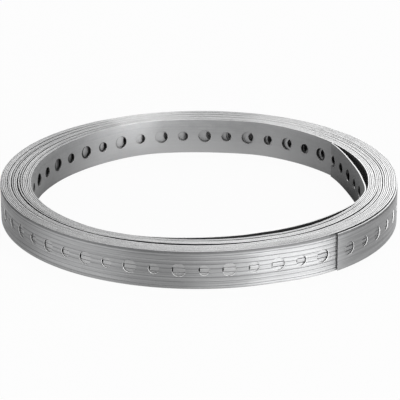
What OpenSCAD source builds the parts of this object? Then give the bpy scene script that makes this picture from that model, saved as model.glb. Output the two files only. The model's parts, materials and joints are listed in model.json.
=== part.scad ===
// A coil of perforated metal strap, lying flat. Going inwards, the strap winds counterclockwise
// seen from above, from its outer end at the front right to its inner end at the right.
// The origin is on the floor, on the coil's axis. The front is -Y.

/* [Strap] */
// Width of the strap, which is the height of the coil
strap_w = 20; // [16:0.5:26]
// Thickness of the strap
strap_t = 0.9; // [0.75:0.05:1.2]
// Distance between the holes along the strap
hole_pitch = 12.5; // [10:0.1:16]
// Diameter of the large holes, which alternate with the small ones
large_hole_d = 7.2; // [5:0.1:9]
// Diameter of the small holes
small_hole_d = 5.6; // [4:0.1:7]

/* [Coil] */
// Radius of the open middle
bore_r = 90; // [75:1:110]
// Number of turns in the coil's wall
turn_count = 16; // [13:1:20]
// Average gap between two turns
turn_gap = 0.15; // [0.1:0.01:0.3]
// Width of the groove between two turns on the coil's ends
groove_w = 0.25; // [0.15:0.05:0.35]
// Depth of that groove
groove_depth = 0.6; // [0.3:0.1:1]

/* [Outer end] */
// Direction of the cut at the outer end
outer_end_az = -51; // [-60:1:-40]
// How far the outer end stands off the coil
outer_lift = 3.2; // [2.6:0.1:4]
// Distance from the outer end to the first hole
outer_first_hole = 8.5; // [6:0.5:12]

/* [Inner end] */
// Direction of the cut at the inner end
inner_end_az = 33.5; // [28:0.5:40]
// How far the inner end bows into the open middle
inner_bow = 4.3; // [3.5:0.1:5.2]
// Distance from the inner end to the hole that the cut runs through
inner_first_hole = 2; // [1:0.5:3]
// Width of the gap behind the innermost turn, at the front
inner_gap = 1.6; // [0.8:0.1:2]

/* [Hidden] */
$fn = 180;
over = 1; // how far a cut runs past the face that it opens
join = 0.01; // how many degrees two layers overlap where one goes on as the other
sink = 6; // how many degrees a loose layer runs on inside the wound turns

turn_pitch = strap_t + turn_gap;
coil_r = bore_r + turn_count * turn_pitch;

// The outer end and the turn under it bulge on one curve, which is widest near the end. Up to
// the end, that turn rises on a steeper curve. The turns behind them bulge less.
slack = 0.2; // gap between the outer end and the turn that it lies on
core_lift = 0.9; // how far the turns behind them bulge
end_peak_az = outer_end_az + 1;
end_spread = 44;
slit_spread = 33.5; // the outer end is loose over this angle
end_bulge = bulge(coil_r + outer_lift, coil_r, end_spread);
core_r = coil_r - 2 * turn_pitch;
core_bulge = bulge(core_r + core_lift, core_r, end_spread);
rise_turn = 13; // the rising curve would be widest this far past the outer end
rise_spread = 28;
rise_peak_az = outer_end_az + rise_turn;
rise_share = 1 - (1 - cos(rise_turn)) / (1 - cos(rise_spread)); // its height at the outer end
rise_bulge = bulge(coil_r + (outer_lift - strap_t - slack) / rise_share, coil_r, rise_spread);

// The inner end bows inwards on a flatter curve than the coil's
bow_spread = 25;
bow_root = 0.5; // how far that curve stands in from the coil's where it begins and ends
bow_az = inner_end_az - 22.5;
bow_bulge = bulge(bore_r - inner_bow, bore_r - bow_root, bow_spread);

gap_az = -64;
gap_spread = 36;
gap_bulge = bulge(bore_r + strap_t + inner_gap, bore_r + strap_t, gap_spread);

// Lengths along the strap, and the holes that they hold. Each way round the coil, the last hole
// stays clear of the end that lies over the turn there.
hole_edge = 2; // least distance between that end and a hole's edge
outer_end_angle = own_angle(end_bulge, outer_end_az - end_peak_az);
outer_loose_length = arc_length(own_angle(end_bulge, end_spread) - outer_end_angle,
    end_bulge[1] - strap_t / 2);
outer_wound_length = arc_length(360 - (end_peak_az + end_spread - outer_end_az),
    coil_r - strap_t / 2);
outer_holes = holes_in(outer_loose_length + outer_wound_length - large_hole_d / 2 - hole_edge,
    outer_first_hole);
outer_loose_holes = holes_in(outer_loose_length, outer_first_hole);
inner_end_angle = own_angle(bow_bulge, inner_end_az - bow_az);
inner_loose_length = arc_length(inner_end_angle - own_angle(bow_bulge, -bow_spread),
    bow_bulge[1]);
inner_wound_length = arc_length(360 - (inner_end_az - bow_az + bow_spread), bore_r);
inner_holes = holes_in(inner_loose_length + inner_wound_length - large_hole_d / 2 - hole_edge,
    inner_first_hole);
inner_loose_holes = holes_in(inner_loose_length, inner_first_hole);

function arc_angle(length, radius) = length / radius * 180 / PI;
function arc_length(angle, radius) = angle * PI / 180 * radius;
function holes_in(length, first) = floor((length - first) / hole_pitch) + 1;

// A curve whose radius is peak_r in one direction and flush_r at the spread on both sides of it
// is a circle about another centre: [that centre's distance from the axis, the circle's radius]
function bulge(peak_r, flush_r, spread) =
    let (distance = (peak_r ^ 2 - flush_r ^ 2) / (2 * (peak_r - flush_r * cos(spread))))
    [distance, peak_r - distance];

// The direction, seen from the bulge's own centre, of its point at this angle from its peak
function own_angle(b, angle) =
    let (r = b[0] * cos(angle) + sqrt(b[1] ^ 2 - (b[0] * sin(angle)) ^ 2))
    atan2(r * sin(angle), r * cos(angle) - b[0]);

module about(az, b) {
    rotate(az) translate([b[0], 0]) children();
}

// A wedge of the plane between two directions, reaching past the coil
module sector(from_az, to_az) {
    reach = 1.5 * coil_r;
    steps = ceil((to_az - from_az) / 45);
    corners = [for (i = [0:steps]) from_az + i * (to_az - from_az) / steps];
    polygon(concat([[0, 0]], [for (az = corners) reach * [cos(az), sin(az)]]));
}

module band(outer_r, inner_r) {
    difference() {
        circle(outer_r);
        circle(inner_r);
    }
}

// The wound turns, with a groove between each two of them on both ends of the coil
module wound_turns() {
    rotate_extrude() difference() {
        translate([bore_r, 0]) square([coil_r - bore_r, strap_w]);
        for (i = [1:turn_count - 1], z = [-over, strap_w - groove_depth])
            translate([bore_r + i * turn_pitch - groove_w / 2, z])
                square([groove_w, groove_depth + over]);
    }
}

// The outer end with the turn that it lies on, and that turn up to the end
module outer_layers() {
    difference() {
        intersection() {
            about(end_peak_az, end_bulge)
                band(end_bulge[1], end_bulge[1] - 2 * strap_t - slack);
            sector(outer_end_az, end_peak_az + end_spread + sink);
        }
        intersection() {
            about(end_peak_az, end_bulge)
                band(end_bulge[1] - strap_t, end_bulge[1] - strap_t - slack);
            sector(outer_end_az - sink, outer_end_az + slit_spread);
        }
    }
    intersection() {
        about(rise_peak_az, rise_bulge) band(rise_bulge[1], rise_bulge[1] - strap_t);
        sector(rise_peak_az - rise_spread - sink, outer_end_az + join);
    }
}

// The space behind those layers, cut into the wound turns up to the middle of the inner layer
module outer_space() {
    intersection() {
        difference() {
            about(end_peak_az, end_bulge) circle(end_bulge[1] - 1.5 * strap_t - slack);
            about(end_peak_az, core_bulge) circle(core_bulge[1]);
        }
        sector(outer_end_az, end_peak_az + end_spread + sink);
    }
    intersection() {
        difference() {
            about(rise_peak_az, rise_bulge) circle(rise_bulge[1] - strap_t / 2);
            circle(coil_r - turn_pitch);
        }
        sector(rise_peak_az - rise_spread - sink / 2, outer_end_az + join);
    }
}

// The inner end, from where it leaves the innermost turn
module inner_layer() {
    intersection() {
        about(bow_az, bow_bulge) band(bow_bulge[1] + strap_t, bow_bulge[1]);
        sector(bow_az - bow_spread - sink, inner_end_az);
    }
}

// The space behind the innermost turn, along the front
module inner_space() {
    intersection() {
        difference() {
            about(gap_az, gap_bulge) circle(gap_bulge[1]);
            circle(bore_r + strap_t);
        }
        sector(gap_az - gap_spread - sink / 2, gap_az + gap_spread + sink / 2);
    }
}

// A radial hole between two radii. The holes are numbered from an end of the strap, and those
// with an even number are large.
module hole(az, number, from_r, to_r) {
    rotate(az) translate([from_r, 0, strap_w / 2]) rotate([0, 90, 0])
        cylinder(h = to_r - from_r, d = number % 2 == 0 ? large_hole_d : small_hole_d);
}

// The holes in the outermost turn, numbered from the outer end
module outer_turn_holes() {
    for (n = [0:outer_holes - 1]) {
        distance = outer_first_hole + n * hole_pitch;
        if (n < outer_loose_holes)
            about(end_peak_az, end_bulge)
                hole(outer_end_angle + arc_angle(distance, end_bulge[1] - strap_t / 2), n,
                    end_bulge[1] - strap_t - slack / 2, end_bulge[1] + over);
        else
            hole(end_peak_az + end_spread
                + arc_angle(distance - outer_loose_length, coil_r - strap_t / 2), n,
                coil_r - strap_t, coil_r + outer_lift + over);
    }
}

// The holes in the innermost turn, numbered from the inner end
module inner_turn_holes() {
    for (n = [0:inner_holes - 1]) {
        distance = inner_first_hole + n * hole_pitch;
        if (n < inner_loose_holes)
            about(bow_az, bow_bulge)
                hole(inner_end_angle - arc_angle(distance, bow_bulge[1]), n,
                    bow_bulge[1] - over, bow_bulge[1] + strap_t + bow_root);
        else
            hole(bow_az - bow_spread - arc_angle(distance - inner_loose_length, bore_r), n,
                bore_r - over, bore_r + strap_t + slack / 2);
    }
}

module through_cut() {
    translate([0, 0, -over]) linear_extrude(strap_w + 2 * over) children();
}

module strap() {
    color("silver") difference() {
        union() {
            difference() {
                wound_turns();
                through_cut() outer_space();
                through_cut() inner_space();
            }
            linear_extrude(strap_w) outer_layers();
            linear_extrude(strap_w) inner_layer();
        }
        outer_turn_holes();
        inner_turn_holes();
    }
}

strap();
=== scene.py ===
"""A coil of perforated steel strap, lying flat on a pale floor.

The strap is made flat, with its holes, and is then bent along the path of the wound coil. A place
on the flat strap is (along, across, depth): the distance from its outer end, the height above its
middle line, and the depth below its outer face. The path is followed by its travel, which is the
angle that the strap has wound through from its outer end. Lengths are in metres and angles in
degrees, unless a comment says otherwise.
"""

import json
import math
from collections import namedtuple

import bpy
import numpy as np
from mathutils import Matrix, Vector


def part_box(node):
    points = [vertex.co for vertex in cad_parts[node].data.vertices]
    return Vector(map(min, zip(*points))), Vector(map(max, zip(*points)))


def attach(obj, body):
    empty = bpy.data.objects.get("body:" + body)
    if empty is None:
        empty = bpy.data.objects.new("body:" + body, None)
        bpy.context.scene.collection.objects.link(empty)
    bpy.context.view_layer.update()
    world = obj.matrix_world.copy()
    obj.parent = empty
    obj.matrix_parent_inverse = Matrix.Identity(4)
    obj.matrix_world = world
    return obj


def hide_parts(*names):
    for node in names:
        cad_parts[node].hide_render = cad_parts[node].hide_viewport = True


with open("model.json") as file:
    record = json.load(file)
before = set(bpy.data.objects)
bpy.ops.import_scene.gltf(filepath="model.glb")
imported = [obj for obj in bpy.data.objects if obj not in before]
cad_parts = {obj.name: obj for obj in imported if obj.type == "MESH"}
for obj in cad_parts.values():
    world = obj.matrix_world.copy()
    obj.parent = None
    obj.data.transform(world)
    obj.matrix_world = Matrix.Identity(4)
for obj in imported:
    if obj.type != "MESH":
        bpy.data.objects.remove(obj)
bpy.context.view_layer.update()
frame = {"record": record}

MM = 0.001
BORES = [mount["dims"] for mount in frame["record"]["mounts"] if mount["kind"] == "bore"]
STRAP_LOW, STRAP_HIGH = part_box("strap")

# Strap
STRAP_W = STRAP_HIGH.z - STRAP_LOW.z
STRAP_T = BORES[0]["length_mm"] * MM
LARGE_R = max(bore["r_mm"] for bore in BORES) * MM
SMALL_R = min(bore["r_mm"] for bore in BORES) * MM
RIM = 0.17 * MM  # bevel round the holes that show
ROLL_W = 0.15 * MM  # how far the slitting rolled the outer face's edges over
UPPER_ROLL_H, LOWER_ROLL_H = 1.2 * MM, 0.35 * MM
BURR = 0.07 * MM  # bevel of the inner face's edges
END_SLANT = 0.6 * MM  # how much shorter the inner face is at the outer end, from its cut
MERGE_STEP = 0.0001 * MM  # corners that agree to this are one point

# Coil: the path of the strap's outer face, wound from the outer end inwards
COIL_R = STRAP_HIGH.x
OUTER_END_AZ = -50.5
INNER_END_AZ = 33.5
TURNS = 16
TRAVEL = 360 * TURNS + INNER_END_AZ - OUTER_END_AZ
STEP = 0.5  # degrees between two samples of the path
KINK_ROUNDING = 1.5  # degrees each way over which the path's kinks are rounded off
GAP = 0.02 * MM  # between two turns that lie close
END_LIFT = 3.2 * MM  # how far the outer end's face stands off the coil
END_PEAK, END_SPREAD = 1, 44  # the travel where it stands off most, and how far that reaches
END_GAP = 0.12 * MM  # between the outer end and the turn under it, which rises too
RISE_PEAK, RISE_SPREAD = 366, 24  # the same two for that rise
SIDE_SAG = 0.4 * MM  # how far the outermost turn lies in from the coil's radius at the left
SAG_PEAK, SAG_BEFORE, SAG_AFTER = 246, 80, 70  # its travel, and its reach before and after
CURLS = (1.25, 0.9, 0.6, 0.3)  # of the upper edges of the turns under the outer end, millimetres
CURL_PEAK, CURL_BEFORE, CURL_AFTER = 4, 24, 44  # the same, with the peak past the outer end

# Wider gaps between two turns: the turn outside the gap, the azimuth where it is widest, how many
# degrees it reaches before and after that, and its width there in millimetres
WIDE_GAPS = [
    (0, -50, 25, 42, 0.1),  # behind the outer end
    (1, -48, 25, 45, 0.35),
    (2, -48, 25, 45, 0.35),
    (3, -48, 25, 45, 0.3),
    (4, -48, 25, 45, 0.3),
    (0, -130, 50, 75, 0.06),  # the front
    (8, -145, 50, 60, 0.8),
    (8, -92, 30, 28, 1.8),
    (9, -46, 30, 36, 1.05),
    (7, -30, 20, 32, 0.3),
    (12, -65, 45, 45, 0.75),
    (4, 20, 35, 45, 0.22),  # the right
    (6, 20, 35, 50, 0.4),
    (7, 15, 35, 45, 0.34),
    (11, 15, 35, 45, 0.4),
    (9, 40, 35, 35, 0.35),
    (2, 86, 18, 20, 0.5),  # the back
    (5, 86, 18, 20, 0.5),
    (9, 86, 18, 20, 0.4),
    (13, 86, 18, 20, 0.4),
    (3, 145, 32, 50, 0.6),  # the back left and the left
    (6, 145, 32, 50, 0.55),
    (10, 145, 32, 50, 0.55),
    (13, 145, 32, 50, 0.4),
    (5, 185, 40, 50, 0.4),
    (9, 185, 40, 50, 0.35),
    (14, -61, 48, 34, 3.3),  # behind the innermost turn, at the front
    (15, 10, 25, 23.5, 4.2),  # behind the bowed inner end
]

# Where holes lie: a hole's travel and its number from the outer end. Those between two of these
# are evenly spaced, and even numbers are large. The inner end cuts the last one.
HOLE_MARKS = [(4.6, 0), (355.6, 52), (658.6, 97), (5247.8, 731), (5490.7, 762), (5843.2, 806)]
CLEARLY_SEEN = (0, 15, 16)  # the turns whose holes are made finest
PARTLY_SEEN = (1, 2, 13, 14)
# How far the walls of the outermost turn's holes lean out in their shading, by travel
WALL_LEANS = [(0, 0.25), (75, 0.3), (200, 0.9), (285, 0.9), (310, 0.65), (325, 0.9), (360, 0.9)]

# Looks. The lists are pairs of a travel and how strong a look is there.
DEEP = 725  # the travel from which the coil's outer faces carry painted shade, deep in the coil
PAINTED_SHADE_GAP = (359, 425)  # the travels between which shade is painted in the gap behind the outer end
LOWER_PAINTED_SHADE = 0.35  # how much more painted shade than at mid height the inner face's lower edge has
WALL_PAINTED_LIT_BELOW, WALL_PAINTED_SHADE_ABOVE = -0.75 * LARGE_R, -0.35 * LARGE_R  # heights on the deeper holes' walls between which painted shade comes in
LOWEST_LINE, LINE_PITCH = -8.4 * MM, 2.3 * MM  # heights of the lines drawn along the strap
ROLL_BLEND = 0.2 * MM  # each way, over which the rolled edge's dullness fades in
# Strength of the lines drawn along the outer face
LINES = [
    (0, 0), (50, 0), (75, 0.1), (215, 0.3), (230, 1), (262, 1), (275, 0.7), (290, 0.45),
    (306, 0.45), (322, 0.7), (340, 1), (360, 1), (362, 2.5), (370, 2.5), (374, 1), (440, 0.9),
    (560, 0.9), (580, 2.3), (720, 2.3),
]
# Painted light on the outer face that shows through the outermost turn's holes, lifting their shade
PAINTED_LIGHT_IN_HOLES = [
    (370, 0), (385, 0.3), (600, 0.3), (640, 0.6), (665, 0.8), (690, 0.8), (703, 0.1), (715, 0),
]
# A darker patch on the outer face at the far left: its strength by travel, on the lower part and on
# the upper part
DARK_PATCH_LOW = [(226, 0), (236, 0.28), (262, 0.28), (272, 0)]  # at the far left, on its lower part
DARK_PATCH_HIGH = [(244, 0), (250, 0.2), (262, 0.2), (270, 0)]  # and on its upper part
# Painted shade on the inner face, where the travel is counted from the inner end
INNER_PAINTED_SHADE = [
    (-720, 1), (-710, 0.9), (-703, 0.4), (-695, 0), (-650, 0), (-636, 0.1), (-628, 0.8),
    (-623, 1), (-570, 1), (-560, 0), (-431, 0), (-430, 1), (-361, 1), (-360, 0.42), (-342, 0.3),
    (-325, 0.1), (-308, 0), (-265, 0), (-238, 0.4), (-190, 0.45), (-150, 0), (-66, 0),
    (-60, 0.85), (-25, 0.8), (-8, 0.65), (0, 0.55),
]
# Pairs of an azimuth and what is added there to the slit edges' painted sheen
PAINTED_EDGE_SHEEN = [
    (-180, 0.4), (-120, 0.4), (-100, 0.2), (-75, -0.2), (-45, -0.3), (-15, -0.2), (52, 0),
    (67, -0.1), (75, -0.7), (90, -0.7), (97, -0.3), (108, 0.1), (118, 0.2), (122, -0.6),
    (142, -0.5), (157, 0.1), (172, 0.5), (180, 0.4),
]

# Studio: each lamp's name, azimuth, elevation, distance, width, height and radiance
LAMPS = [
    ("front right", -40, 4.5, 1.6, 1.25, 0.22, 26),
    ("front", -76, 18, 1.6, 0.8, 1.0, 2.35),
    ("left", -156, 15, 1.6, 1.5, 0.9, 2.1),
    ("back right", 72, 25, 1.8, 1.6, 1.2, 1.6),
    ("overhead back", 70, 61, 1.6, 0.38, 0.35, 8),
    ("overhead", -100, 80, 1.6, 1.0, 1.0, 0.9),
]
WORLD_GREY = 0.15
FLOOR_GREY = 0.9
FLOOR_WHITENESS = 0.95  # share of plain white in the floor that the camera sees
FLOOR_HALF = 12  # half of its side
CAMERA_AIM = Vector((0.4 * MM, 0.6 * MM, 10 * MM))
CAMERA_DISTANCE = 1.1331
CAMERA_ELEVATION = 21.167
CAMERA_ROLL = -0.283
CAMERA_LENS = 188.57  # millimetres
CAMERA_SHIFT = (0.0024, -0.02)

Hole = namedtuple("Hole", "centre radius bevel lean sides steps_after")


def read(pairs, place, left=None, right=None):
    """The value at a place, straight between pairs of a place and a value."""
    places, values = zip(*pairs)
    return np.interp(place, places, values, left, right)


def arch(x, before, after):
    """1 at 0, falling along a cosine to 0 at -before and at after."""
    reach = np.where(x < 0, before, after)
    return np.cos(np.pi / 2 * np.clip(np.abs(x) / reach, 0, 1))


def bulge(x, spread):
    """1 at 0, falling to 0 at the spread on both sides, as a flatter circle rises over a circle."""
    flush = math.cos(math.radians(spread))
    return np.clip((np.cos(np.radians(np.clip(x, -90, 90))) - flush) / (1 - flush), 0, None)


def smoothed(values, width):
    """values with every kink rounded off over about width samples each way."""
    reach = 4 * width
    kernel = np.exp(-0.5 * (np.arange(-reach, reach + 1) / width) ** 2)
    before = 2 * values[0] - values[reach:0:-1]
    after = 2 * values[-1] - values[-2 : -reach - 2 : -1]
    return np.convolve(np.concatenate([before, values, after]), kernel / kernel.sum(), "valid")


# The strap's shape


class Path:
    """The path of the strap's outer face, by distance along the strap."""

    def __init__(self):
        self.travel = np.arange(0, TRAVEL + STEP / 2, STEP)
        azimuth = np.radians(self.travel + OUTER_END_AZ)
        radius = self.radii()
        self.x, self.y = radius * np.cos(azimuth), radius * np.sin(azimuth)
        self.heading = np.unwrap(np.arctan2(np.gradient(self.y), np.gradient(self.x)))
        middle_x = self.x - STRAP_T / 2 * np.sin(self.heading)
        middle_y = self.y + STRAP_T / 2 * np.cos(self.heading)
        steps = np.hypot(np.diff(middle_x), np.diff(middle_y))
        self.along = np.concatenate([[0], np.cumsum(steps)])
        self.length = self.along[-1]
        self.curl = np.zeros(len(self.travel))
        for turn, curl in enumerate(CURLS, 1):
            past_peak = self.travel - 360 * turn - CURL_PEAK
            self.curl += curl * MM * arch(past_peak, CURL_BEFORE, CURL_AFTER) ** 2

    def radii(self):
        """The outer face's radius: first the outermost turn's, and from it each turn's inside."""
        turn = round(360 / STEP)
        rise = (END_LIFT - STRAP_T - END_GAP) / bulge(360 - RISE_PEAK, RISE_SPREAD)
        radius = np.full(len(self.travel), COIL_R)
        radius += END_LIFT * bulge(self.travel - END_PEAK, END_SPREAD)
        radius += rise * bulge(self.travel - RISE_PEAK, RISE_SPREAD)
        radius -= SIDE_SAG * arch(self.travel - SAG_PEAK, SAG_BEFORE, SAG_AFTER)
        gap = np.full(len(self.travel), GAP)
        for outside, azimuth, before, after, width in WIDE_GAPS:
            centre = 360 * outside + (azimuth - OUTER_END_AZ) % 360
            gap += width * MM * arch(self.travel - centre, before, after)
        for i in range(turn, len(radius)):
            radius[i] = radius[i - turn] - STRAP_T - gap[i - turn]
        return smoothed(radius, round(KINK_ROUNDING / STEP))

    def at(self, along, values):
        """Values that are known at the path's samples, at places along the strap."""
        return np.interp(along, self.along, values)

    def bend(self, places):
        """Places on the flat strap, as points of the coil."""
        along, across, depth = places.T
        heading = self.at(along, self.heading)
        height = np.clip((across - STRAP_W / 2) / UPPER_ROLL_H + 1, 0, 1)
        depth = depth + self.at(along, self.curl) * height
        x = self.at(along, self.x) - depth * np.sin(heading)
        y = self.at(along, self.y) + depth * np.cos(heading)
        return np.stack([x, y, (STRAP_LOW.z + STRAP_HIGH.z) / 2 + across], axis=-1)

    def turn_normals(self, along, normals):
        """Directions (along, across, outwards) on the flat strap, as directions on the coil."""
        heading = self.at(along, self.heading)
        ahead, up, out = normals.T
        x = ahead * np.cos(heading) + out * np.sin(heading)
        y = ahead * np.sin(heading) - out * np.cos(heading)
        return np.stack([x, y, up], axis=-1)


def hole_list(path):
    """Every hole from the outer end on, with its place along the strap."""
    travels, numbers = zip(*HOLE_MARKS)
    marks = np.interp(travels, path.travel, path.along)
    holes = []
    for number, centre in enumerate(np.interp(range(numbers[-1] + 1), numbers, marks)):
        travel = path.at(centre, path.travel)
        radius = SMALL_R if number % 2 else LARGE_R
        if travel // 360 in CLEARLY_SEEN:
            lean = read(WALL_LEANS, travel, right=0)
            holes.append(Hole(centre, radius, RIM, lean, sides=32, steps_after=2))
        else:
            sides = 16 if travel // 360 in PARTLY_SEEN else 12
            holes.append(Hole(centre, radius, 0, 0, sides, steps_after=1))
    return holes


class FlatStrap:
    """Faces of the flat strap, made a stretch at a time from its outer end to its inner one."""

    FACE, SLIT, PUNCHED = range(3)  # material slots
    HALF = STRAP_W / 2
    OUT, IN = np.array((0, 0, 1.0)), np.array((0, 0, -1.0))
    ROLL_LEAN = 0.8  # slope of the rolled edges' shading
    FIRST_STEPS = 4  # in the stretch before the first hole

    def __init__(self):
        self.corners, self.normals, self.slots = [], [], []

    def strip(self, a, b, normal_a, normal_b, slot):
        """Faces between two lines of places, each with its own direction to shade by."""
        a, b = np.asarray(a), np.asarray(b)
        normal_a = np.broadcast_to(normal_a, a.shape)
        normal_b = np.broadcast_to(normal_b, b.shape)
        self.corners.append(np.stack([a[:-1], a[1:], b[1:], b[:-1]], axis=1))
        shade = np.stack([normal_a[:-1], normal_a[1:], normal_b[1:], normal_b[:-1]], axis=1)
        self.normals.append(shade)
        self.slots.append(np.full(len(a) - 1, slot))

    def line(self, along, across, depth):
        return np.stack(np.broadcast_arrays(along, across, depth), axis=-1).astype(float)

    def roll(self, side):
        return UPPER_ROLL_H if side > 0 else -LOWER_ROLL_H

    def border(self, along, opening, side):
        """One half of the strap, between the holes' edges or the middle line and a slit edge."""
        edge = side * self.HALF
        edgewise = np.array((0, side, 0.0))
        leaning = edgewise * self.ROLL_LEAN + self.OUT
        lines = [
            self.line(along, side * opening, 0),
            self.line(along, edge - self.roll(side), 0),
            self.line(along, edge, ROLL_W),
            self.line(along, edge, STRAP_T - BURR),
            self.line(along, edge - side * BURR, STRAP_T),
            self.line(along, side * opening, STRAP_T),
        ]
        shades = [
            (self.OUT, self.OUT, self.FACE),
            (leaning, leaning, self.FACE if side > 0 else self.SLIT),
            (edgewise, edgewise, self.SLIT),
            (edgewise, self.IN, self.SLIT),
            (self.IN, self.IN, self.FACE),
        ]
        if side < 0:
            lines = [line[::-1] for line in lines]
        for a, b, (normal_a, normal_b, slot) in zip(lines, lines[1:], shades):
            self.strip(a, b, normal_a, normal_b, slot)

    def rings(self, hole):
        """A hole's radius and depth at each step of its wall, from face to face, and for each
        band between two of them, how far its shading leans out at each side and its slot."""
        if not hole.bevel:
            return [(hole.radius, 0), (hole.radius, STRAP_T)], [(0, 0, self.PUNCHED)]
        ring_list = [
            (hole.radius + hole.bevel, 0),
            (hole.radius, hole.bevel),
            (hole.radius, STRAP_T - hole.bevel),
            (hole.radius + hole.bevel, STRAP_T),
        ]
        wall = (hole.lean, hole.lean, self.PUNCHED)
        return ring_list, [(1, 1, self.FACE), wall, (0, -1, self.PUNCHED)]

    def hole(self, hole, end):
        """A hole's wall, as far as the strap's end, and the line that its edge leaves."""
        arcs = []
        ring_list, bands = self.rings(hole)
        for ring_r, depth in ring_list:
            last = math.acos(-min(1, (end - hole.centre) / ring_r))
            angle = np.linspace(0, last, hole.sides // 2 + 1)
            arcs.append((ring_r, depth, -np.cos(angle), np.sin(angle)))
        for side in (1, -1):
            order = slice(None) if side < 0 else slice(None, None, -1)
            rows = []
            for ring_r, depth, cos, sin in arcs:
                places = self.line(hole.centre + ring_r * cos, side * ring_r * sin, depth)
                rows.append((places[order], self.line(-cos, -side * sin, 0)[order]))
            for (a, wall_a), (b, wall_b), (lean_a, lean_b, slot) in zip(rows, rows[1:], bands):
                self.strip(a, b, self.leaned(wall_a, lean_a), self.leaned(wall_b, lean_b), slot)
        ring_r, _, cos, sin = arcs[0]
        return hole.centre + ring_r * cos, ring_r * sin

    def leaned(self, wall, lean):
        """Directions turned from a hole's wall towards the outer face, or the inner below 0."""
        normals = (1 - abs(lean)) * wall + lean * self.OUT
        return normals / np.linalg.norm(normals, axis=1)[:, None]

    def cap(self, along, opening, direction):
        """The cut end of the strap, above and below its middle line or the hole that it cuts."""
        for side in (1, -1):
            edge = side * self.HALF
            front = [(opening * side, 0), (edge - self.roll(side), 0), (edge, ROLL_W)]
            back = [(opening * side, STRAP_T), (edge - side * BURR, STRAP_T), (edge, STRAP_T - BURR)]
            front = [(along, across, depth) for across, depth in front]
            back = [(along, across, depth) for across, depth in back]
            a, b = (back, front) if side * direction > 0 else (front, back)
            self.strip(a, b, (direction, 0, 0), (direction, 0, 0), self.SLIT)

    def stretch(self, start, stop, steps):
        """A plain stretch between two holes."""
        along = np.linspace(start, stop, steps + 1)
        for side in (1, -1):
            self.border(along, 0, side)

    def build(self, holes, length):
        """The whole strap, whose end at this length cuts the last of the holes."""
        self.cap(0, 0, -1)
        reached, steps = 0, self.FIRST_STEPS
        for hole in holes:
            self.stretch(reached, hole.centre - hole.radius - hole.bevel, steps)
            along, across = self.hole(hole, length)
            for side in (1, -1):
                self.border(along, across, side)
            reached, steps = along[-1], hole.steps_after
        self.cap(length, across[-1], 1)

    def mesh(self, path):
        """The flat strap's points, the coil's points, its faces, their shading and their slots."""
        corners = np.concatenate(self.corners).reshape(-1, 3)
        normals = np.concatenate(self.normals).reshape(-1, 3)
        keys = np.round(corners / MERGE_STEP).astype(np.int64)
        _, first, index = np.unique(keys, axis=0, return_index=True, return_inverse=True)
        flat = corners[first]
        flat[:, 0] += np.where(flat[:, 0] == 0, END_SLANT * flat[:, 2] / STRAP_T, 0)
        shading = path.turn_normals(corners[:, 0], normals)
        return flat, path.bend(flat), index.reshape(-1, 4), shading, np.concatenate(self.slots)


# Where the strap's looks change, as a value at each of its points


def lined(travel, depth):
    """How strongly the drawn lines show: only on the outer face, and more on some stretches."""
    return read(LINES, travel) * (depth < STRAP_T / 2)


def painted_light_in_holes(travel, depth):
    """Painted light on the outer face that shows through the outermost turn's holes, which lifts the
    shade in them.
    """
    return read(PAINTED_LIGHT_IN_HOLES, travel) * (depth < STRAP_T / 2)


def painted_edge_sheen(x, y):
    """The slit edges' painted sheen: brightest at the right, and uneven round the coil."""
    return (x / COIL_R + 1) / 2 + read(PAINTED_EDGE_SHEEN, np.degrees(np.arctan2(y, x)))


def painted_shade_and_patch_outside(travel, across):
    """Painted shade on the outer face deep in the coil and in the gap behind the outer end, and a
    faint darker patch at the far left, which is stronger on its lower part."""
    in_gap = (travel > PAINTED_SHADE_GAP[0]) & (travel < PAINTED_SHADE_GAP[1]) & (across > STRAP_W / 2 - BURR)
    low, high = read(DARK_PATCH_LOW, travel), read(DARK_PATCH_HIGH, travel)
    height = np.clip(across / (0.4 * STRAP_W) + 0.5, 0, 1)
    return np.where((travel > DEEP) | in_gap, 1, low + (high - low) * height)


def painted_shade_inside(travel, across):
    """Painted shade on the inner face, stronger towards its lower edge."""
    darkening = read(INNER_PAINTED_SHADE, travel - TRAVEL, left=0)
    return np.clip(darkening * (1 - LOWER_PAINTED_SHADE * across / (STRAP_W / 2)), 0, 1)


def painted_shade_and_dark_patch(travel, across, depth):
    """How dark each point is painted: painted shade on the outer face, with a darker patch at its far
    left, on the inner face, and on the walls of the deeper turns' holes, where the lowest part, which
    faces up, is left without it."""
    outside, inside = painted_shade_and_patch_outside(travel, across), painted_shade_inside(travel, across)
    darkening = np.where(depth < STRAP_T / 2, outside, inside)
    on_wall = (depth > 0) & (depth < STRAP_T) & (np.abs(across) < 2 * LARGE_R)
    # Painted shade on the deeper holes' walls, none on their lowest part, which faces up and catches
    # the light
    wall = np.interp(across, (WALL_PAINTED_LIT_BELOW, WALL_PAINTED_SHADE_ABOVE), (0, 1))
    return np.where(on_wall & (travel > DEEP), wall, darkening)


# Materials


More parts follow.
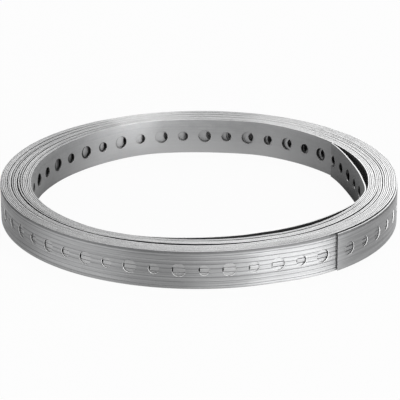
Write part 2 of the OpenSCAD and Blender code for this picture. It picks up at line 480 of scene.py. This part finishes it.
class Nodes:
    """Short calls for building one material. A value is a number, a colour or an output."""

    def __init__(self, name, **sockets):
        self.material = bpy.data.materials.new(name)
        self.material.use_nodes = True
        self.tree = self.material.node_tree
        self.shader = self.tree.nodes["Principled BSDF"]
        for socket, value in sockets.items():
            self.shade(socket.replace("_", " "), value)

    def put(self, value, socket):
        """Sets a socket to a number or a colour, or links an output to it."""
        if isinstance(value, bpy.types.NodeSocket):
            self.tree.links.new(value, socket)
        else:
            socket.default_value = (*value, 1) if isinstance(value, tuple) else value

    def shade(self, socket, value):
        self.put(value, self.shader.inputs[socket])

    def attribute(self, name, output="Fac"):
        node = self.tree.nodes.new("ShaderNodeAttribute")
        node.attribute_name = name
        return node.outputs[output]

    def flat_places(self):
        """The place on the flat strap, whole and as along, across and depth."""
        flat = self.attribute("flat", "Vector")
        node = self.tree.nodes.new("ShaderNodeSeparateXYZ")
        self.put(flat, node.inputs["Vector"])
        return flat, *node.outputs

    def noise(self, vector, scale, detail, roughness):
        """Noise with so many waves in a metre along, across and through the strap."""
        scaled = self.tree.nodes.new("ShaderNodeVectorMath")
        scaled.operation = "MULTIPLY"
        scaled.inputs[1].default_value = scale
        self.put(vector, scaled.inputs[0])
        node = self.tree.nodes.new("ShaderNodeTexNoise")
        settings = {"Scale": 1, "Detail": detail, "Roughness": roughness, "Vector": scaled.outputs[0]}
        for socket, value in settings.items():
            self.put(value, node.inputs[socket])
        return node.outputs["Fac"]

    def math(self, operation, a, b=0):
        node = self.tree.nodes.new("ShaderNodeMath")
        node.operation = operation
        self.put(a, node.inputs[0])
        self.put(b, node.inputs[1])
        return node.outputs[0]

    def times(self, a, b):
        return self.math("MULTIPLY", a, b)

    def rest_of(self, share):
        return self.math("SUBTRACT", 1, share)

    def spread(self, value, low, high, to_low=0, to_high=1):
        """A value from low to high, as one from to_low to to_high."""
        node = self.tree.nodes.new("ShaderNodeMapRange")
        settings = {"From Min": low, "From Max": high, "To Min": to_low, "To Max": to_high}
        for socket, number in settings.items():
            self.put(number, node.inputs[socket])
        self.put(value, node.inputs["Value"])
        return node.outputs["Result"]

    def colours(self, value, *stops):
        """A colour for a value, between two pairs of a value and a colour."""
        node = self.tree.nodes.new("ShaderNodeValToRGB")
        for element, (place, colour) in zip(node.color_ramp.elements, stops):
            element.position = place
            element.color = (*colour, 1)
        self.put(value, node.inputs["Fac"])
        return node.outputs["Color"]

    def blend(self, factor, a, b):
        """Colour a, going over to colour b as the factor grows."""
        node = self.tree.nodes.new("ShaderNodeMix")
        node.data_type = "RGBA"
        socket_a, socket_b = (socket for socket in node.inputs if socket.type == "RGBA")
        self.put(factor, node.inputs[0])
        self.put(a, socket_a)
        self.put(b, socket_b)
        return next(output for output in node.outputs if output.type == "RGBA")

    def bump(self, height, distance):
        node = self.tree.nodes.new("ShaderNodeBump")
        node.inputs["Distance"].default_value = distance
        self.put(height, node.inputs["Height"])
        self.shade("Normal", node.outputs["Normal"])

    def grain_round_the_coil(self, amount):
        """Highlights spread at right angles to the strap's length, as on rolled metal."""
        node = self.tree.nodes.new("ShaderNodeTangent")
        node.direction_type = "RADIAL"
        node.axis = "Z"
        self.shade("Tangent", node.outputs["Tangent"])
        self.shade("Anisotropic", amount)
        self.shade("Anisotropic Rotation", 0.25)


def brushed_steel(nodes, flat, outer):
    """The bare steel's colour, cloudy, spotted, streaked and banded, and its clouds and streaks.
    The streaks and bands are fainter on the inner face."""
    clouds = nodes.noise(flat, (140, 260, 0), 4, 0.6)
    spots = nodes.noise(flat, (900, 1400, 0), 3, 0.6)
    streaks = nodes.noise(flat, (30, 2400, 0), 4, 0.7)
    bands = nodes.noise(flat, (12, 700, 0), 2, 0.6)
    strength = nodes.math("ADD", nodes.times(outer, 0.75), 0.25)
    colour = nodes.colours(clouds, (0.3, (0.31, 0.313, 0.317)), (0.7, (0.4, 0.403, 0.405)))
    colour = nodes.blend(nodes.spread(spots, 0.35, 0.7, 0, 0.3), colour, (0.27, 0.27, 0.275))
    streaky = nodes.times(nodes.spread(streaks, 0.35, 0.65, 0, 0.6), strength)
    colour = nodes.blend(streaky, colour, (0.5, 0.503, 0.507))
    banded = nodes.times(nodes.spread(bands, 0.4, 0.6, 0, 0.5), strength)
    return nodes.blend(banded, colour, (0.22, 0.22, 0.223)), clouds, streaks


def drawn_lines(nodes, across):
    """Dark lines along the strap, evenly spaced over its width."""
    height = nodes.math("ADD", across, LINE_PITCH / 2 - LOWEST_LINE)
    row = nodes.math("DIVIDE", height, LINE_PITCH)
    off_line = nodes.math("ABSOLUTE", nodes.math("SUBTRACT", nodes.math("FRACT", row), 0.5))
    return nodes.times(nodes.spread(off_line, 0.12, 0.04), nodes.attribute("lined"))


def rolled_face():
    """The strap's faces: rolled galvanised steel, with lines drawn along its outer face, painted
    light on the lower half of its inner face and on the outer face seen through the holes, and
    painted shade over them."""
    nodes = Nodes("rolled steel", Specular_IOR_Level=0.0)
    flat, _, across, depth = nodes.flat_places()
    outer = nodes.spread(depth, STRAP_T / 2, STRAP_T / 4)
    inner = nodes.rest_of(outer)
    colour, clouds, streaks = brushed_steel(nodes, flat, outer)
    lines = drawn_lines(nodes, across)
    colour = nodes.blend(nodes.times(lines, 0.65), colour, (0.08, 0.08, 0.085))
    # Painted light: the outer face seen through the outermost turn's holes is lightened to lift the
    # shade in them
    colour = nodes.blend(nodes.times(nodes.attribute("painted_light_in_holes"), 0.4), colour, (0.6, 0.6, 0.6))
    # Painted light: the inner face's lower half is lightened where the coil's near wall shades it
    painted_light_low = nodes.times(nodes.spread(across, 6 * MM, -8 * MM, 0.06, 0.45), inner)
    colour = nodes.blend(painted_light_low, colour, (0.62, 0.62, 0.625))
    # Painted shade of the coil's gaps and hidden turns, and the darker patch at the far left: dark
    # and not metallic
    darkening = nodes.times(nodes.attribute("painted_shade_and_dark_patch"), 0.92)
    nodes.shade("Base Color", nodes.blend(darkening, colour, (0.03, 0.03, 0.03)))
    nodes.shade("Metallic", nodes.rest_of(darkening))
    roll_start = STRAP_W / 2 - UPPER_ROLL_H
    on_roll = nodes.spread(across, roll_start - ROLL_BLEND, roll_start + ROLL_BLEND)
    rough = nodes.spread(clouds, 0.3, 0.7, 0.42, 0.52)
    rough = nodes.math("ADD", rough, nodes.times(nodes.times(on_roll, outer), 0.35))
    nodes.shade("Roughness", nodes.math("ADD", rough, nodes.times(inner, 0.1)))
    nodes.bump(nodes.math("SUBTRACT", nodes.times(streaks, 0.5), lines), 0.04 * MM)
    nodes.grain_round_the_coil(nodes.math("ADD", nodes.times(outer, 0.35), 0.45))
    return nodes.material


def slit_edge():
    """The strap's two long edges, slit, with a painted sheen round the coil that is brightest at the
    right, and darker stretches along their borders.
    """
    nodes = Nodes("slit edge", Metallic=1.0)
    flat, _, _, depth = nodes.flat_places()
    patches = nodes.noise(flat, (5, 20, 20), 3, 0.55)
    stretches = nodes.noise(flat, (7, 0, 0), 2, 0.5)
    nicks = nodes.noise(flat, (90, 300, 2200), 3, 0.6)
    # Painted highlight: the slit edges are lightened by where they lie round the coil
    patches_and_painted_sheen = nodes.math("ADD", patches, nodes.times(nodes.attribute("painted_edge_sheen"), 0.3))
    colour = nodes.colours(patches_and_painted_sheen, (0.4, (0.46, 0.463, 0.467)), (0.95, (0.9, 0.9, 0.9)))
    colour = nodes.blend(nodes.spread(nicks, 0.45, 0.75, 0, 0.25), colour, (0.32, 0.32, 0.325))
    from_middle = nodes.math("ABSOLUTE", nodes.math("SUBTRACT", depth, STRAP_T / 2))
    border = nodes.spread(from_middle, STRAP_T / 2 - 0.2 * MM, STRAP_T / 2 - 0.05 * MM)
    # The borders next to the faces are darkened in stretches
    dark_borders = nodes.times(border, nodes.spread(stretches, 0.4, 0.6, 0.15, 0.95))
    nodes.shade("Base Color", nodes.blend(dark_borders, colour, (0.12, 0.12, 0.12)))
    nodes.shade("Roughness", nodes.spread(nicks, 0.3, 0.7, 0.34, 0.5))
    nodes.bump(nicks, 0.003 * MM)
    nodes.grain_round_the_coil(0.55)
    return nodes.material


def punched_wall():
    """The walls of the holes: bright where the punch cut, dull where the steel then tore, painted
    pale and matt in the outer half of the strap as a painted light that lifts their shade, and with
    painted shade over them."""
    nodes = Nodes("punched wall")
    flat, along, _, depth = nodes.flat_places()
    scores = nodes.noise(flat, (4000, 4000, 300), 2, 0.6)
    torn = nodes.spread(depth, 0.4 * MM, 0.55 * MM)
    inner_half = nodes.spread(along, 5, 6)
    colour = nodes.blend(torn, (0.62, 0.62, 0.62), (0.5, 0.5, 0.5))
    colour = nodes.blend(nodes.spread(scores, 0.4, 0.7, 0, 0.3), colour, (0.4, 0.4, 0.4))
    # Painted light: the walls in the outer half of the strap are made pale and matt to lift the shade
    # in those holes
    colour = nodes.blend(nodes.spread(inner_half, 1, 0, 0, 0.8), colour, (0.85, 0.85, 0.85))
    # Painted shade on the walls, as on the faces around them, and on the deeper holes' walls above
    # their lowest part
    darkening = nodes.times(nodes.attribute("painted_shade_and_dark_patch"), 0.9)
    nodes.shade("Base Color", nodes.blend(darkening, colour, (0.04, 0.04, 0.04)))
    nodes.shade("Metallic", nodes.times(inner_half, 0.95))
    nodes.shade("Roughness", nodes.spread(scores, 0.3, 0.7, 0.4, 0.6))
    nodes.bump(scores, 0.03 * MM)
    return nodes.material


def floor_material():
    """Pale paper with the coil's shadow, which the camera and reflections see nearly white."""
    material = bpy.data.materials.new("floor")
    material.use_nodes = True
    tree = material.node_tree
    tree.nodes.clear()
    paper = tree.nodes.new("ShaderNodeBsdfDiffuse")
    paper.inputs["Color"].default_value = (FLOOR_GREY, FLOOR_GREY, FLOOR_GREY, 1)
    white = tree.nodes.new("ShaderNodeEmission")
    rays = tree.nodes.new("ShaderNodeLightPath")
    seen = rays.outputs["Is Camera Ray"]
    for kind in ("Is Glossy Ray", "Is Transmission Ray"):
        either = tree.nodes.new("ShaderNodeMath")
        either.operation = "MAXIMUM"
        tree.links.new(seen, either.inputs[0])
        tree.links.new(rays.outputs[kind], either.inputs[1])
        seen = either.outputs[0]
    share = tree.nodes.new("ShaderNodeMath")
    share.operation = "MULTIPLY"
    share.inputs[1].default_value = FLOOR_WHITENESS
    tree.links.new(seen, share.inputs[0])
    mix = tree.nodes.new("ShaderNodeMixShader")
    tree.links.new(share.outputs[0], mix.inputs["Fac"])
    tree.links.new(paper.outputs[0], mix.inputs[1])
    tree.links.new(white.outputs[0], mix.inputs[2])
    output = tree.nodes.new("ShaderNodeOutputMaterial")
    tree.links.new(mix.outputs[0], output.inputs["Surface"])
    return material


# The strap


def strap_mesh():
    path = Path()
    strap = FlatStrap()
    strap.build(hole_list(path), path.length)
    flat, points, faces, shading, slots = strap.mesh(path)
    mesh = bpy.data.meshes.new("perforated_strap")
    mesh.from_pydata(points.tolist(), [], faces.tolist())
    mesh.polygons.foreach_set("material_index", slots)
    mesh.attributes.new("flat", "FLOAT_VECTOR", "POINT").data.foreach_set("vector", flat.ravel())
    travel = path.at(flat[:, 0], path.travel)
    across, depth = flat[:, 1], flat[:, 2]
    amounts = {
        "lined": lined(travel, depth),
        "painted_shade_and_dark_patch": painted_shade_and_dark_patch(travel, across, depth),
        "painted_light_in_holes": painted_light_in_holes(travel, depth),
        "painted_edge_sheen": painted_edge_sheen(points[:, 0], points[:, 1]),
    }
    for name, amount in amounts.items():
        mesh.attributes.new(name, "FLOAT", "POINT").data.foreach_set("value", amount)
    mesh.polygons.foreach_set("use_smooth", np.ones(len(faces), bool))
    mesh.normals_split_custom_set(shading.tolist())
    for material in (rolled_face(), slit_edge(), punched_wall()):
        mesh.materials.append(material)
    return mesh


def add_strap():
    piece = bpy.data.objects.new("perforated_strap", strap_mesh())
    bpy.context.collection.objects.link(piece)
    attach(piece, "root")
    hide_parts("strap")


# Studio


def softbox(name, azimuth, elevation, distance, width, height, radiance):
    """A rectangular lamp that faces the coil."""
    lamp = bpy.data.lights.new(name, "AREA")
    lamp.shape = "RECTANGLE"
    lamp.size, lamp.size_y = width, height
    lamp.energy = radiance * math.pi * width * height
    a, e = math.radians(azimuth), math.radians(elevation)
    away = Vector((math.cos(a) * math.cos(e), math.sin(a) * math.cos(e), math.sin(e)))
    holder = bpy.data.objects.new(name, lamp)
    holder.location = distance * away
    holder.rotation_euler = away.to_track_quat("Z", "Y").to_euler()
    bpy.context.collection.objects.link(holder)


def add_lights():
    world = bpy.data.worlds.new("studio")
    world.use_nodes = True
    background = world.node_tree.nodes["Background"]
    background.inputs["Color"].default_value = (WORLD_GREY, WORLD_GREY, WORLD_GREY, 1)
    bpy.context.scene.world = world
    for lamp in LAMPS:
        softbox(*lamp)


def add_floor():
    mesh = bpy.data.meshes.new("floor")
    corners = [(x * FLOOR_HALF, y * FLOOR_HALF, 0) for x, y in ((-1, -1), (1, -1), (1, 1), (-1, 1))]
    mesh.from_pydata(corners, [], [(0, 1, 2, 3)])
    mesh.materials.append(floor_material())
    floor = bpy.data.objects.new("floor", mesh)
    bpy.context.collection.objects.link(floor)


def add_camera():
    """The camera, in front of the coil and a little above it."""
    data = bpy.data.cameras.new("camera")
    data.lens = CAMERA_LENS
    data.shift_x, data.shift_y = CAMERA_SHIFT
    camera = bpy.data.objects.new("camera", data)
    elevation = math.radians(CAMERA_ELEVATION)
    away = CAMERA_DISTANCE * Vector((0, -math.cos(elevation), math.sin(elevation)))
    look = away.to_track_quat("Z", "Y").to_matrix().to_4x4()
    roll = Matrix.Rotation(math.radians(CAMERA_ROLL), 4, "Z")
    camera.matrix_world = Matrix.Translation(CAMERA_AIM + away) @ look @ roll
    bpy.context.collection.objects.link(camera)
    bpy.context.scene.camera = camera


add_strap()
add_floor()
add_lights()
add_camera()
bpy.context.scene.view_settings.view_transform = "Standard"
